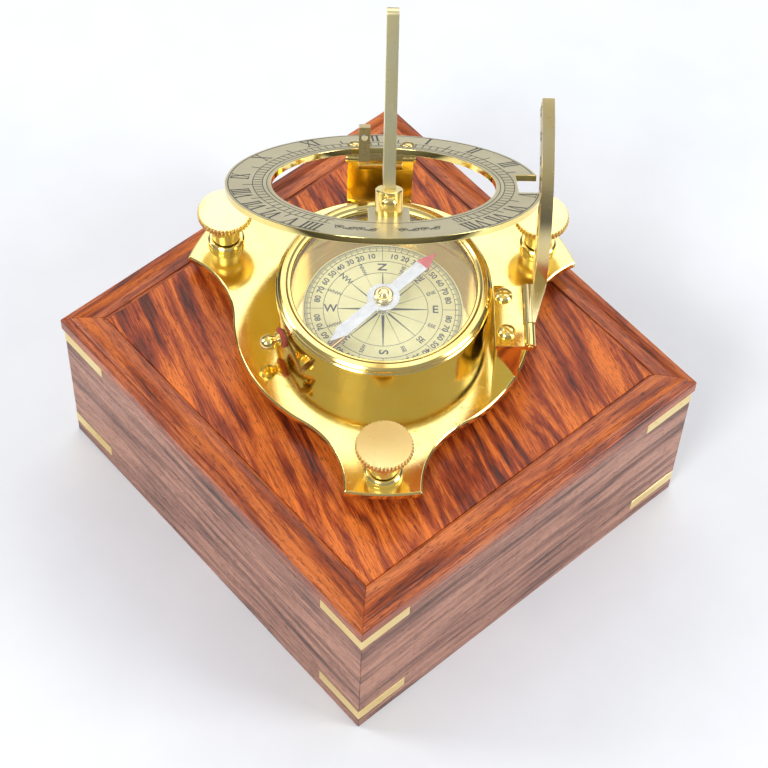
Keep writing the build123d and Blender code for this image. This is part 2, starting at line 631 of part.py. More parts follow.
# ============================== the hour ring ==============================
RIVET_X = 8.4
RIVET_N = 38.0
with BuildPart() as hour_ring:
    with BuildSketch(on_ring(up=-RING_THICK)):
        Circle(RING_R)
        Circle(RING_BORE_R, mode=Mode.SUBTRACT)
        with Locations(((NOTCH_FROM + RING_R + 2) / 2, (NOTCH_LOW + NOTCH_HIGH) / 2)):
            Rectangle(RING_R + 2 - NOTCH_FROM, NOTCH_HIGH - NOTCH_LOW, mode=Mode.SUBTRACT)
        with Locations((POST_X, -(TAB_END + RING_BORE_R + 2) / 2)):
            RectangleRounded(2 * TAB_HALF, RING_BORE_R + 2 - TAB_END, 1.5)
        with Locations((POST_X, POST_N)):
            Circle(1.6, mode=Mode.SUBTRACT)
        with Locations((-RIVET_X, RIVET_N), (RIVET_X, RIVET_N)):
            Circle(1.3, mode=Mode.SUBTRACT)
    extrude(amount=RING_THICK)
finish(hour_ring.part, "hour_ring", "hour ring")

with BuildPart() as ring_hinge_block:
    with BuildSketch(on_ring(0, 0, -RING_THICK)):
        with Locations((0, 41.2)):
            Rectangle(2 * BLOCK_PLATE_HALF, 12.4)
    extrude(amount=-1.2)
    with BuildSketch(across_ring(-BLOCK_HALF, HINGE_REACH, -HINGE_DROP)):
        Circle(2.2)
        with Locations((0, (HINGE_DROP - RING_THICK) / 2)):
            Rectangle(4.4, HINGE_DROP - RING_THICK)
    extrude(amount=2 * BLOCK_HALF)
    with BuildSketch(across_ring(-BLOCK_HALF, HINGE_REACH, -HINGE_DROP)):
        Circle(RING_PIN_R + RUNNING)
    extrude(amount=2 * BLOCK_HALF, mode=Mode.SUBTRACT)
    with BuildSketch(on_ring(0, 0, -RING_THICK)):
        with Locations((-RIVET_X, RIVET_N), (RIVET_X, RIVET_N)):
            Circle(1.3)
    extrude(amount=-1.2, mode=Mode.SUBTRACT)
finish(ring_hinge_block.part, "ring_hinge_block", "hinge block of the hour ring")

with BuildPart() as ring_rivets:
    for side in (-RIVET_X, RIVET_X):
        rivet_plane = Plane(on_ring(side, RIVET_N).origin, x_dir=EAST, z_dir=-RING_NORTH)
        add(turned(rivet_plane, [(0, -3.9), (1.9, -3.9), (1.9, -3.2), (1.3, -3.2), (1.3, 0), (2.3, 0),
                                 (2.1, 0.5), (1.4, 0.95), (0, 1.15)]))
finish(ring_rivets.part, "ring_rivets", "rivets of the hinge block")

# A fork that catches the folded gnomon's side.
CLIP_X = -5.6
CLIP_N = 31.4
with BuildPart() as gnomon_clip:
    with BuildSketch(across_ring(CLIP_X - 1.8)):
        with BuildLine():
            Polyline((CLIP_N - 1.9, -3.2), (CLIP_N - 1.9, 8.2), (CLIP_N + 1.9, 8.2), (CLIP_N + 1.9, -2.0),
                     (35.0, -2.0), (35.0, -3.2), close=True)
        make_face()
    extrude(amount=3.6)
    with BuildSketch(Plane(on_ring(CLIP_X, CLIP_N - 1.9, 4.9).origin, x_dir=EAST, z_dir=RING_NORTH)):
        Circle(1.0)
    extrude(amount=3.8, mode=Mode.SUBTRACT)
finish(gnomon_clip.part, "gnomon_clip", "catch for the folded gnomon")

with BuildPart() as gnomon_post:
    post_plane = Plane(on_ring(POST_X, POST_N).origin, x_dir=EAST, z_dir=-RING_NORTH)
    add(turned(post_plane, [(0, -RING_THICK - 0.7), (2.6, -RING_THICK - 0.7), (2.6, -RING_THICK),
                            (1.6, -RING_THICK), (1.6, 0), (POST_R, 0), (POST_R, POST_UP - 0.3),
                            (POST_R - 0.3, POST_UP), (0, POST_UP)]))
    with BuildSketch(on_ring(POST_X, POST_N - 0.6 + 5, 0.8)):
        Rectangle(GNOMON_THICK + 0.2, 10)
    extrude(amount=POST_UP, mode=Mode.SUBTRACT)
    with BuildSketch(across_ring(POST_X - 5, GNOMON_PIN_N, GNOMON_PIN_UP)):
        Circle(1.0)
    extrude(amount=10, mode=Mode.SUBTRACT)
    with BuildSketch(Plane(on_ring(POST_X, POST_N - 5, 3.9).origin, x_dir=EAST, z_dir=RING_NORTH)):
        Circle(1.5)
    extrude(amount=5.0 - 1.0, mode=Mode.SUBTRACT)
finish(gnomon_post.part, "gnomon_post", "gnomon post")

with BuildPart() as friction_screw:
    screw_plane = Plane(on_ring(POST_X, POST_N, 3.9).origin, x_dir=RING_FACE_UP, z_dir=EAST)
    with BuildSketch(screw_plane):
        with BuildLine():
            Polyline((0, 1.0), (1.5, 1.0), (1.5, 4.15), (2.4, 4.15), (2.4, 4.6), (1.7, 5.2), (0, 5.5),
                     close=True)
        make_face()
    revolve(axis=Axis(screw_plane.origin, screw_plane.y_dir))
finish(friction_screw.part, "friction_screw", "friction screw of the gnomon")

with BuildPart() as gnomon_pin:
    with BuildSketch(across_ring(POST_X - 3.6, GNOMON_PIN_N, GNOMON_PIN_UP)):
        Circle(1.0)
    extrude(amount=7.2)
finish(gnomon_pin.part, "gnomon_pin", "pivot pin of the gnomon")

with BuildPart() as gnomon:
    with BuildSketch(across_ring(POST_X - GNOMON_THICK / 2)):
        with BuildLine():
            south = GNOMON_PIN_N - TANG_R
            north = GNOMON_PIN_N + TANG_R
            step = POST_UP + 0.9
            tip = GNOMON_TIP - 1.8
            Line((south, GNOMON_PIN_UP), (south + 1.6, tip))
            ThreePointArc((south + 1.6, tip), (south + 3.4, GNOMON_TIP), (south + 5.2, tip))
            ThreePointArc((south + 5.2, tip), (south + 8.0, 34), (south + 11.5, step + 1.6))
            ThreePointArc((south + 11.5, step + 1.6), (south + 11.0, step + 0.5), (south + 9.9, step))
            Line((south + 9.9, step), (north, step))
            Line((north, step), (north, GNOMON_PIN_UP))
            lowest = (GNOMON_PIN_N, GNOMON_PIN_UP - TANG_R)
            ThreePointArc((north, GNOMON_PIN_UP), lowest, (south, GNOMON_PIN_UP))
        make_face()
        with Locations((GNOMON_PIN_N, GNOMON_PIN_UP)):
            Circle(1.0 + RUNNING, mode=Mode.SUBTRACT)
    extrude(amount=GNOMON_THICK)
finish(gnomon.part, "gnomon", "folding gnomon")

# ============================== the latitude arc ==============================
with BuildPart() as arc_pillar:
    with BuildSketch(flat((PILLAR_WEST + PILLAR_EAST) / 2, (PILLAR_SOUTH + PILLAR_NORTH) / 2)):
        RectangleRounded(PILLAR_EAST - PILLAR_WEST, PILLAR_NORTH - PILLAR_SOUTH, 0.6)
    extrude(amount=PILLAR_TOP)
    with BuildSketch(flat()):
        with Locations(*ARC_SCREWS):
            Circle(ARC_SCREW_R)
    extrude(amount=PILLAR_TOP, mode=Mode.SUBTRACT)
finish(arc_pillar.part, "arc_pillar", "pillar of the latitude arc")

with BuildPart() as arc_hinge_leaf:
    with BuildSketch(flat(up=PILLAR_TOP)):
        with BuildLine():
            inner = ARC_HINGE_X - ARC_KNUCKLE_R - 0.2
            Polyline((LEAF_WEST, LEAF_SOUTH), (ARC_HINGE_X, LEAF_SOUTH), (ARC_HINGE_X, LEAF_SPLIT),
                     (inner, LEAF_SPLIT), (inner, LEAF_NORTH), (LEAF_WEST, LEAF_NORTH), close=True)
        make_face()
    extrude(amount=LEAF_TOP - PILLAR_TOP)
    with BuildSketch(facing_south(ARC_HINGE_X, LEAF_SPLIT, ARC_HINGE_UP)):
        Circle(ARC_KNUCKLE_R)
    extrude(amount=LEAF_SPLIT - LEAF_SOUTH)
    with BuildSketch(facing_south(ARC_HINGE_X, LEAF_SPLIT, ARC_HINGE_UP)):
        Circle(ARC_PIN_R)
    extrude(amount=LEAF_SPLIT - LEAF_SOUTH, mode=Mode.SUBTRACT)
    with BuildSketch(flat(up=PILLAR_TOP)):
        with Locations(*ARC_SCREWS):
            Circle(ARC_SCREW_R)
    extrude(amount=3, mode=Mode.SUBTRACT)
finish(arc_hinge_leaf.part, "arc_hinge_leaf", "fixed hinge leaf of the latitude arc")

with BuildPart() as arc_hinge_screws:
    for (east, north), slot_turn in zip(ARC_SCREWS, ARC_SCREW_TURNS):
        screw_at = upright(east, north, 0)
        add(turned(screw_at, [(0, -PLATE_THICK), (ARC_SCREW_R, -PLATE_THICK), (ARC_SCREW_R, LEAF_TOP),
                              (2.85, LEAF_TOP), (2.75, LEAF_TOP + 0.6), (2.1, LEAF_TOP + 1.3),
                              (1.1, LEAF_TOP + 1.65), (0, LEAF_TOP + 1.75)]))
        with BuildSketch(flat(east, north, LEAF_TOP + 2)):
            Rectangle(7, 0.8, rotation=slot_turn)
        extrude(amount=-1.1, mode=Mode.SUBTRACT)
finish(arc_hinge_screws.part, "arc_hinge_screws", "round-head screws of the arc's hinge")

with BuildPart() as arc_hinge_pin:
    with BuildSketch(facing_south(ARC_HINGE_X, LEAF_NORTH + 0.15, ARC_HINGE_UP)):
        Circle(ARC_PIN_R)
    extrude(amount=LEAF_NORTH + 0.15 - LEAF_SOUTH + 0.3)
finish(arc_hinge_pin.part, "arc_hinge_pin", "hinge pin of the latitude arc")



def arc_point(radius, degrees):
    """North and up of a point on the latitude arc, whose centre is the ring's hinge."""
    return (AXIS_N - radius * cos(radians(degrees)), AXIS_UP + radius * sin(radians(degrees)))


with BuildPart() as latitude_arc:
    with BuildSketch(facing_east(ARC_X - ARC_THICK / 2)):
        with BuildLine():
            Line((AXIS_N - ARC_OUT, ARC_FOOT_UP), arc_point(ARC_OUT, 0))
            half = ARC_TOP / 2
            ThreePointArc(arc_point(ARC_OUT, 0), arc_point(ARC_OUT, half), arc_point(ARC_OUT, ARC_TOP))
            Line(arc_point(ARC_OUT, ARC_TOP), arc_point(ARC_IN, ARC_TOP))
            ThreePointArc(arc_point(ARC_IN, ARC_TOP), arc_point(ARC_IN, half), arc_point(ARC_IN, 0))
            Line(arc_point(ARC_IN, 0), (AXIS_N - ARC_IN, ARC_FOOT_UP))
            Line((AXIS_N - ARC_IN, ARC_FOOT_UP), (AXIS_N - ARC_OUT, ARC_FOOT_UP))
        make_face()
    extrude(amount=ARC_THICK)
    foot_north = AXIS_N - ARC_OUT + 4
    with BuildSketch(flat(up=ARC_FOOT_UP)):
        with BuildLine():
            outer, inner = ARC_X + ARC_THICK / 2, ARC_X - ARC_THICK / 2
            near, leaf_south = ARC_HINGE_X + 0.9, LEAF_SPLIT + 0.2
            Polyline((near, leaf_south), (near + 0.9, leaf_south), (outer, -0.5), (outer, foot_north),
                     (inner, foot_north), (inner, LEAF_NORTH), (near, LEAF_NORTH), close=True)
        make_face()
    extrude(amount=3.6)
    with BuildSketch(facing_south(ARC_HINGE_X, LEAF_NORTH, ARC_HINGE_UP)):
        Circle(ARC_KNUCKLE_R)
    extrude(amount=LEAF_NORTH - LEAF_SPLIT - 0.2)
    with BuildSketch(facing_south(ARC_HINGE_X, LEAF_NORTH, ARC_HINGE_UP)):
        Circle(ARC_PIN_R + RUNNING)
    extrude(amount=LEAF_NORTH - LEAF_SPLIT - 0.2, mode=Mode.SUBTRACT)
finish(latitude_arc.part, "latitude_arc", "latitude arc")

print("ring hinge axis: north %.2f, up %.2f above the plate" % (AXIS_N, AXIS_UP))
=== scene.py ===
# %% [markdown]
# # A folding sundial compass on its hardwood case
# The object is a brass pocket instrument: a compass in a round bowl, a tilting hour ring with a folding
# gnomon above it, and three levelling screws below. It stands on the closed case it travels in. This
# lesson dresses a finished mechanical model: the sizes and the moving parts are already settled, and
# Blender adds rounded edges, engraving, printing, grain and polish.

# %% Load the frame
import json
import math

import bmesh
import bpy
from mathutils import Matrix, Vector


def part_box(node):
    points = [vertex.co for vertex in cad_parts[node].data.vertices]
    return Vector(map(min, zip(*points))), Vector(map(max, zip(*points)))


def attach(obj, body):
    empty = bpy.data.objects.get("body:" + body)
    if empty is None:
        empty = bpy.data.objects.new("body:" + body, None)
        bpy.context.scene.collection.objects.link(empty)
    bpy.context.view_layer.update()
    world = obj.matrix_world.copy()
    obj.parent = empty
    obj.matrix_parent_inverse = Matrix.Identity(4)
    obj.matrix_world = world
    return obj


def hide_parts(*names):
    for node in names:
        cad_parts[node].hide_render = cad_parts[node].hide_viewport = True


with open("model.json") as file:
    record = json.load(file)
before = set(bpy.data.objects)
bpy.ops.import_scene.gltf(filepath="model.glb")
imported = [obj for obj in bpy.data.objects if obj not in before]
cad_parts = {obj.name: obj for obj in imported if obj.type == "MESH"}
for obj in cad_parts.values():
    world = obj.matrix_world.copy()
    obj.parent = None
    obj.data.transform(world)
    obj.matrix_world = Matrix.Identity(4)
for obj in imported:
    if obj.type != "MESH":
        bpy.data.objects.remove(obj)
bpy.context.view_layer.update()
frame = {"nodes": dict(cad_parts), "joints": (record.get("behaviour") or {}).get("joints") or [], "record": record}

# %% [markdown]
# ## Directions
# The instrument lies turned on its case, so its own east and north are worked out once, from the axis
# of the latitude arc's hinge, which points north. Pieces are then drawn in plain millimetres on the
# base plate or on the tilted hour ring, and one matrix puts each drawing in its place.

# %% Directions of the instrument
MM = 0.001
joints = {joint["name"]: joint for joint in frame["joints"]}
UP = Vector((0, 0, 1))
NORTH = Vector(joints["arc_hinge"]["axis"]).normalized()
EAST = NORTH.cross(UP)


def drawing_board(origin, east, north, up):
    """Matrix from millimetres on a piece's own axes to metres in the frame."""
    turn = Matrix((east, north, up)).transposed().to_4x4()
    return Matrix.Translation(origin) @ turn @ Matrix.Scale(MM, 4)


def middle(node):
    low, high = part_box(node)
    return (low + high) / 2


glass_middle = middle("glass")
CENTRE = Vector((glass_middle.x, glass_middle.y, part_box("compass_bowl")[0].z))
ON_PLATE = drawing_board(CENTRE, EAST, NORTH, UP)

RING_THICK = 2.0
tilt = math.radians(-joints["ring_hinge"]["range_deg"][0])
RING_NORTH = NORTH * math.cos(tilt) - UP * math.sin(tilt)
RING_UP = NORTH * math.sin(tilt) + UP * math.cos(tilt)
RING_CENTRE = middle("hour_ring") + RING_UP * RING_THICK / 2 * MM
ON_RING = drawing_board(RING_CENTRE, EAST, RING_NORTH, RING_UP)
ON_CASE = Matrix.Scale(MM, 4)
print("compass centre", CENTRE, "ring centre", RING_CENTRE)

# %% [markdown]
# ## Camera
# A long lens looks down on the near corner of the case from well above, which is how small objects are
# shown on a table. The camera leans by about three degrees, so its axes are built as vectors and the
# lean turns the right-hand one towards the upward one.

# %% Camera
CAMERA_AZIMUTH = math.radians(46.706)
CAMERA_ELEVATION = math.radians(56.045)
CAMERA_DISTANCE = 742.19
CAMERA_LEAN = math.radians(2.871)
CAMERA_TARGET = Vector((11.414, -7.022, 65.066))
CAMERA_LENS = 109.17

backwards = Vector((math.sin(CAMERA_AZIMUTH) * math.cos(CAMERA_ELEVATION),
                    -math.cos(CAMERA_AZIMUTH) * math.cos(CAMERA_ELEVATION),
                    math.sin(CAMERA_ELEVATION)))
level_right = UP.cross(backwards).normalized()
level_up = backwards.cross(level_right)
right = level_right * math.cos(CAMERA_LEAN) + level_up * math.sin(CAMERA_LEAN)
upward = backwards.cross(right)
camera_data = bpy.data.cameras.new("camera")
camera_data.lens = CAMERA_LENS
camera_data.sensor_width = 36
camera_data.clip_start = 0.01
camera_data.dof.use_dof = False
camera = bpy.data.objects.new("camera", camera_data)
bpy.context.scene.collection.objects.link(camera)
camera.matrix_world = (Matrix.Translation((CAMERA_TARGET + backwards * CAMERA_DISTANCE) * MM)
                       @ Matrix((right, upward, backwards)).transposed().to_4x4())
bpy.context.scene.camera = camera

# %% [markdown]
# ## Shader sums
# Grain, polish and wear are sums of a few patterns. One small class wraps a number's socket, so that
# such a sum is written as an ordinary expression, and one method makes every other node.

# %% Shader helpers


class Number:
    """A number worked out by a shader. Python's operators on it add Math nodes."""

    def __init__(self, finish, socket):
        self.finish = finish
        self.socket = socket

    def math(self, operation, *values):
        node = self.finish.node("ShaderNodeMath", {"operation": operation}, dict(enumerate(values)))
        return Number(self.finish, node.outputs[0])

    def __add__(self, other):
        return self.math("ADD", self, other)

    __radd__ = __add__

    def __mul__(self, other):
        return self.math("MULTIPLY", self, other)

    __rmul__ = __mul__

    def __sub__(self, other):
        return self.math("SUBTRACT", self, other)

    def __rsub__(self, other):
        return self.math("SUBTRACT", other, self)

    def __pow__(self, other):
        return self.math("POWER", self, other)

    def between(self, low, high):
        """0 below low and 1 above high, with a straight ramp between."""
        node = self.finish.node("ShaderNodeMapRange", {"clamp": True},
                                {"Value": self, "From Min": low, "From Max": high})
        return Number(self.finish, node.outputs[0])


class Finish:
    """A material with one Principled shader, and the one method that makes its nodes."""

    def __init__(self, name, **constants):
        self.material = bpy.data.materials.new(name)
        self.material.use_nodes = True
        self.tree = self.material.node_tree
        self.tree.nodes.clear()
        self.shader = self.node("ShaderNodeBsdfPrincipled", {}, constants)
        self.node("ShaderNodeOutputMaterial", {}, {"Surface": self.shader.outputs[0]})

    def node(self, kind, settings=None, values=None):
        made = self.tree.nodes.new(kind)
        for name, setting in (settings or {}).items():
            if name == "stops":
                ramp = made.color_ramp
                for position, colour in setting[1:-1]:
                    ramp.elements.new(position)
                for element, (position, colour) in zip(ramp.elements, setting):
                    element.position = position
                    element.color = (*colour, 1)
            else:
                setattr(made, name, setting)
        self.give(made, values or {})
        return made

    def give(self, node, values):
        for name, value in values.items():
            socket = node.inputs[name.replace("_", " ") if isinstance(name, str) else name]
            value = getattr(value, "socket", value)
            if isinstance(value, bpy.types.NodeSocket):
                self.tree.links.new(value, socket)
            elif socket.type == "RGBA" and len(value) == 3:
                socket.default_value = (*value, 1)
            else:
                socket.default_value = value

    def place(self, turn=(0, 0, 0), stretch=(1, 1, 1), start=(0, 0, 0)):
        """Object coordinates in metres, turned and stretched for a pattern."""
        where = self.node("ShaderNodeTexCoord").outputs["Object"]
        turned = self.node("ShaderNodeMapping", {"vector_type": "POINT"},
                           {"Vector": where, "Location": start, "Rotation": turn})
        return self.node("ShaderNodeVectorMath", {"operation": "MULTIPLY"},
                         {0: turned.outputs[0], 1: stretch}).outputs[0]

    def noise(self, where, scale, detail=4.0, rough=0.55, bend=0.0):
        made = self.node("ShaderNodeTexNoise", {}, {"Vector": where, "Scale": scale, "Detail": detail,
                                                    "Roughness": rough, "Distortion": bend})
        return Number(self, made.outputs["Fac"])

    def colour(self, number, *stops):
        made = self.node("ShaderNodeValToRGB", {"stops": stops}, {"Fac": number})
        return made.outputs[0]

    def mix(self, number, first, second, way="MIX"):
        made = self.node("ShaderNodeMix", {"data_type": "RGBA", "blend_type": way, "clamp_factor": True},
                         {0: number, 6: first, 7: second})
        return made.outputs[2]

    def bump(self, height, depth, strength=1.0):
        made = self.node("ShaderNodeBump", {}, {"Height": height, "Distance": depth, "Strength": strength})
        return made.outputs[0]

    def wear(self, **channels):
        self.give(self.shader, channels)
        return self.material


# %% [markdown]
# ## Polished brass
# The instrument is machine-buffed yellow brass: nearly a mirror, with faint buffing lines, soft smears
# where it was wiped, and small warmer stains. A noise stretched along one direction gives the buffing
# lines their height. The smears change the roughness only a little, so reflections stay clear.

# %% Brass


def buffed_brass(name, colour, gloss, line_turn=0.6, stain=0.25, line_depth=0.000004):
    finish = Finish(name, Metallic=1.0)
    smear = finish.noise(finish.place(), 60, detail=3)
    spots = finish.noise(finish.place(start=(0.3, 0.1, 0.2)), 420, detail=5).between(0.60, 0.74)
    lines = finish.noise(finish.place(turn=(0, 0, line_turn), stretch=(1, 24, 8)), 700, detail=3)
    warmer = tuple(c * k for c, k in zip(colour, (0.96, 0.88, 0.70)))
    warm = finish.colour(smear, (0.35, colour), (0.72, warmer))
    dark = tuple(c * k for c, k in zip(colour, (0.62, 0.50, 0.35)))
    return finish.wear(Base_Color=finish.mix(spots * stain, warm, dark),
                       Roughness=smear * 0.10 + spots * 0.12 + lines * 0.05 + gloss,
                       Normal=finish.bump(lines, line_depth, 0.5))


BRASS_YELLOW = (1.0, 0.82, 0.32)
plate_brass = buffed_brass("plate_brass", BRASS_YELLOW, 0.03)
screw_brass = buffed_brass("screw_brass", (1.0, 0.82, 0.34), 0.09, line_turn=0.2)
head_brass = buffed_brass("head_brass", (1.0, 0.86, 0.42), 0.22, line_turn=0.2, line_depth=0.00001)
raw_brass = buffed_brass("raw_brass", (0.80, 0.64, 0.29), 0.20, stain=0.8, line_depth=0.00003)
gnomon_brass = buffed_brass("gnomon_brass", (1.0, 0.93, 0.58), 0.26, line_turn=0.0, stain=0.5,
                            line_depth=0.00003)
arc_brass = buffed_brass("arc_brass", (0.78, 0.66, 0.36), 0.16, line_turn=0.9, stain=0.5)
strap_brass = buffed_brass("strap_brass", (0.98, 0.78, 0.36), 0.26, stain=0.35)


def turned_brass(name, centre, colour, gloss):
    """Brass with the fine rings of a lathe tool, which follow height and radius."""
    finish = Finish(name, Metallic=1.0)
    where = finish.place(start=(-centre.x, -centre.y, 0))
    parts = finish.node("ShaderNodeSeparateXYZ", {}, {0: where})
    east, north = Number(finish, parts.outputs[0]), Number(finish, parts.outputs[1])
    radius = (east * east + north * north) ** 0.5
    on_profile = finish.node("ShaderNodeCombineXYZ", {}, {0: radius, 2: Number(finish, parts.outputs[2])})
    rings = finish.noise(on_profile.outputs[0], 4200, detail=4, rough=0.7)
    smear = finish.noise(finish.place(), 90, detail=3)
    return finish.wear(Base_Color=finish.colour(smear, (0.3, colour), (0.75, (0.88, 0.64, 0.20))),
                       Roughness=rings * 0.09 + smear * 0.07 + gloss,
                       Normal=finish.bump(rings, 0.000010, 0.4))


bowl_brass = turned_brass("bowl_brass", CENTRE, (0.84, 0.70, 0.29), 0.05)

# %% [markdown]
# ## Silvered face and black wax
# The hour ring's face reads pale and dry beside the brass, as a silvered face does, and its engraving
# is black, as wax filling is.

# %% Silvered face and wax
face = Finish("silvered_face", Metallic=0.55)
face_grain = face.noise(face.place(), 2600, detail=2)
face_cloud = face.noise(face.place(), 70, detail=4)
silvered_face = face.wear(
    Base_Color=face.colour(face_cloud, (0.3, (0.62, 0.55, 0.34)), (0.7, (0.72, 0.64, 0.41))),
    Roughness=face_grain * 0.15 + 0.30, Normal=face.bump(face_grain, 0.00001, 0.5))

wax = Finish("black_wax")
wax_grain = wax.noise(wax.place(), 1800, detail=3)
wax_colour = wax.colour(wax_grain, (0.3, (0.020, 0.021, 0.019)), (0.7, (0.060, 0.060, 0.050)))
black_wax = wax.wear(Base_Color=wax_colour, Roughness=wax_grain * 0.3 + 0.35)

# %% [markdown]
# ## Rosewood
# Rosewood is orange-brown with long dark streaks that bend, and with short open pores along the grain.
# Streaks come from noise stretched along the board and bent by a slower noise; pores are a finer noise
# stretched the same way. The top is lacquered and glossy, and the sides are only oiled.

# %% Rosewood


def rosewood(name, turn, pale, deep, black, gloss, coat, start=(0, 0, 0), sway=0.07):
    finish = Finish(name, Coat_Weight=coat, Coat_Roughness=0.06, IOR=1.35)
    slow = finish.noise(finish.place(start=start, turn=turn, stretch=(0.6, 2.2, 1.6)), 14, detail=2, bend=1.0)
    along = finish.place(start=start, turn=turn, stretch=(1, 14, 14))
    bent = finish.node("ShaderNodeVectorMath", {"operation": "MULTIPLY_ADD"},
                       {0: finish.node("ShaderNodeCombineXYZ", {}, {0: 0.0, 1: slow, 2: slow}).outputs[0],
                        1: (0.0, sway, sway), 2: along}).outputs[0]
    streak = finish.noise(bent, 22, detail=6, rough=0.6)
    fine = finish.noise(finish.place(start=start, turn=turn, stretch=(1, 22, 22)), 110, detail=4)
    pores = finish.noise(finish.place(start=start, turn=turn, stretch=(1, 9, 9)), 330, detail=2)
    pores = pores.between(0.58, 0.66)
    blaze = finish.noise(finish.place(start=start, turn=turn, stretch=(1, 2, 2)), 30, detail=3)
    body = finish.colour(streak * 0.62 + fine * 0.22 + blaze * 0.2,
                         (0.40, black), (0.49, deep), (0.60, pale))
    return finish.wear(Base_Color=finish.mix(pores * 0.75, body, black),
                       Roughness=fine * 0.12 + pores * 0.2 + gloss,
                       Normal=finish.bump(fine * 0.5 - pores, 0.00006, 0.5))


PALE_WOOD = (0.78, 0.185, 0.024)
DEEP_WOOD = (0.32, 0.042, 0.007)
BLACK_WOOD = (0.055, 0.010, 0.004)
panel_wood = rosewood("panel_wood", (0, 0, 0.28), PALE_WOOD, DEEP_WOOD, BLACK_WOOD, 0.24, 0.12,
                      sway=0.24)
QUARTER = math.pi / 2
side_look = ((0.56, 0.27, 0.18), (0.31, 0.13, 0.083), (0.07, 0.026, 0.018))
moulding_look = ((0.66, 0.17, 0.032), (0.34, 0.062, 0.013), (0.08, 0.016, 0.006))
mouldings = {
    "front": rosewood("moulding_wood_front", (0, 0, 0.05), *moulding_look, 0.26, 0.3, start=(0.2, 0, 0)),
    "back": rosewood("moulding_wood_back", (0, 0, -0.04), *moulding_look, 0.26, 0.3, start=(0.5, 0, 0)),
    "left": rosewood("moulding_wood_left", (0, 0, QUARTER), *moulding_look, 0.26, 0.3, start=(0.8, 0, 0)),
    "right": rosewood("moulding_wood_right", (0, 0, QUARTER), *moulding_look, 0.26, 0.3, start=(1.1, 0, 0)),
}
sides = {
    "front": rosewood("side_wood_front", (0, 0, 0), *side_look, 0.34, 0.15, start=(0.1, 0, 0.3)),
    "back": rosewood("side_wood_back", (0, 0, 0), *side_look, 0.34, 0.15, start=(0.4, 0, 0.3)),
    "left": rosewood("side_wood_left", (0, 0, QUARTER), *side_look, 0.34, 0.15, start=(0.7, 0, 0.3)),
    "right": rosewood("side_wood_right", (0, 0, QUARTER), *side_look, 0.34, 0.15, start=(1.0, 0, 0.3)),
}
floor_wood = rosewood("floor_wood", (0, 0, 0), *side_look, 0.5, 0.0, start=(0.3, 0.2, 0))

# %% [markdown]
# ## Small finishes
# Card, ink, felt, cork, fibre, steel, paint and the jewel each get a pattern of their own at their own
# scale, because a single flat colour reads as plastic.

# %% Small finishes


def speckled(name, scale, first, second, rough, depth=0.0, **constants):
    """A finish whose colour and roughness vary with one noise."""
    finish = Finish(name, **constants)
    grain = finish.noise(finish.place(), scale, detail=4)
    return finish.wear(Base_Color=finish.colour(grain, (0.3, first), (0.7, second)),
                       Roughness=grain * 0.15 + rough, Normal=finish.bump(grain, depth, 0.6))


card_paper = speckled("card_paper", 500, (0.90, 0.86, 0.44), (0.95, 0.92, 0.50), 0.35, 0.000005)
card_ink = speckled("card_ink", 900, (0.015, 0.015, 0.018), (0.05, 0.05, 0.05), 0.4, 0.000002)
felt = speckled("red_felt", 2400, (0.16, 0.006, 0.012), (0.30, 0.012, 0.025), 0.85, 0.0002, Sheen_Weight=0.6)
cork = speckled("cork", 1500, (0.30, 0.19, 0.10), (0.55, 0.38, 0.22), 0.8, 0.0001)
fibre = speckled("red_fibre", 1500, (0.36, 0.055, 0.045), (0.50, 0.10, 0.08), 0.6, 0.00003)
steel = speckled("polished_steel", 900, (0.62, 0.62, 0.64), (0.80, 0.80, 0.82), 0.10, 0.000003, Metallic=1.0)
needle_silver = speckled("needle_silver", 500, (0.42, 0.43, 0.45), (0.60, 0.61, 0.62), 0.16, 0.000004,
                         Metallic=0.7)
tip_red = speckled("tip_red", 700, (0.62, 0.05, 0.06), (0.75, 0.10, 0.10), 0.25, 0.000004)
jewel = speckled("jewel", 300, (0.45, 0.02, 0.05), (0.60, 0.05, 0.10), 0.05, 0.0)
lever_metal = buffed_brass("lever_metal", (0.42, 0.26, 0.12), 0.22, stain=0.8)

# %% [markdown]
# ## Glass
# The compass glass is a flat clear disc. Nearly all light goes straight through it, and the rest is
# mirrored, more so at a flat angle. A ray meets both faces of the disc, so the factor comes from Layer
# Weight's Facing, which is the same on both, and not from Fresnel, which turns the lower face opaque.

# %% Glass
pane = Finish("compass_glass", Base_Color=(0.97, 1.0, 0.98), Metallic=1.0)
pane_smear = pane.noise(pane.place(), 110, detail=3)
pane.wear(Roughness=pane_smear * 0.03 + 0.005)
clear = pane.node("ShaderNodeBsdfPrincipled", {}, {"Base Color": (1, 1, 1), "Alpha": 0.0, "Roughness": 0.4})
facing = pane.node("ShaderNodeLayerWeight", {}, {"Blend": 0.5})
edge_on = Number(pane, facing.outputs["Facing"]) ** 5 * 0.85 + 0.045
both = pane.node("ShaderNodeMixShader", {}, {0: edge_on, 1: clear.outputs[0], 2: pane.shader.outputs[0]})
pane.give(next(n for n in pane.tree.nodes if n.type == "OUTPUT_MATERIAL"), {"Surface": both.outputs[0]})

# %% [markdown]
# ## Making a piece
# Every piece is a bmesh drawn in millimetres. Sharp edges on real work are never quite sharp, so a
# narrow bevel catches the light along them. Flat faces keep flat reflections, because the normals are
# weighted by area.

# %% Helpers for pieces
SHARP = math.radians(28)


def merge(bm, flatness=0.4):
    bmesh.ops.remove_doubles(bm, verts=bm.verts, dist=0.0008)
    bmesh.ops.dissolve_limit(bm, angle_limit=math.radians(flatness), verts=bm.verts, edges=bm.edges,
                             delimit=set())


